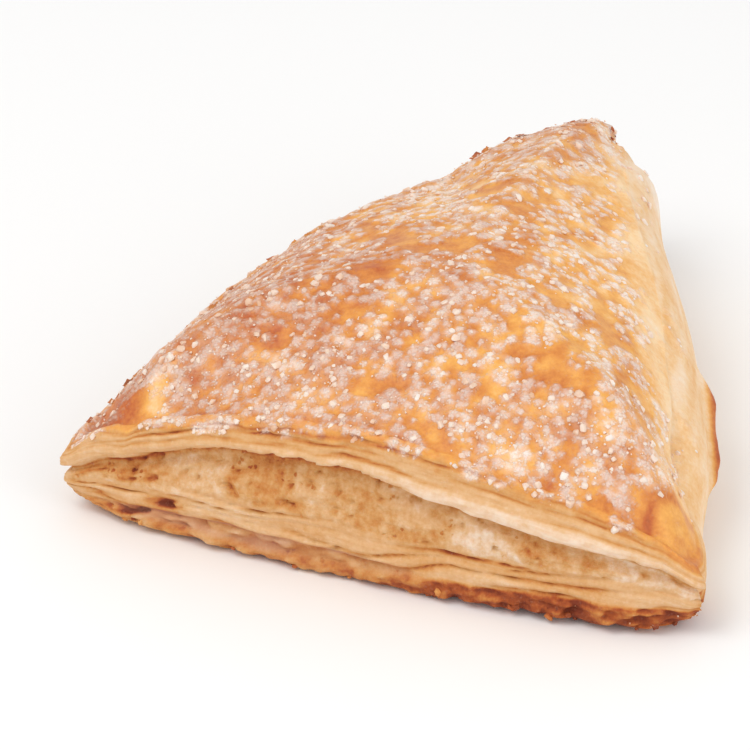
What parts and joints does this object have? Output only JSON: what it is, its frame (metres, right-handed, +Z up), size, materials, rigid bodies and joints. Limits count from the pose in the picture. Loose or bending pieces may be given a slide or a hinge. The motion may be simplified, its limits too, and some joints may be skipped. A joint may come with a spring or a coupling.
{
  "type": "turnover pastry",
  "caption": "Puff pastry turnover folded into a triangle, with a domed sugared top, a rounded folded side and layered cut sides.",
  "frame": {"origin": "centre of the bounding box, on the underside that the pastry rests on", "axes": "+Z up, away from the underside; +Y along the folded side; +X towards the folded side, so that the corner where the two cut sides meet points to -X"},
  "size_m": [0.11, 0.1398, 0.043],
  "materials": {
    "baked_crust": "golden brown baked puff pastry, slightly glossy on top, matt at the cut sides",
    "pastry_leaves": "thin pale baked leaves at the cut sides, browned at their edges",
    "coarse_sugar": "coarse white sugar, partly melted and caramelised",
    "pastry_crumbs": "small browned crumbs and flakes"
  },
  "bodies": {
    "root": {"pastry": "baked_crust"}
  },
  "joints": []
}
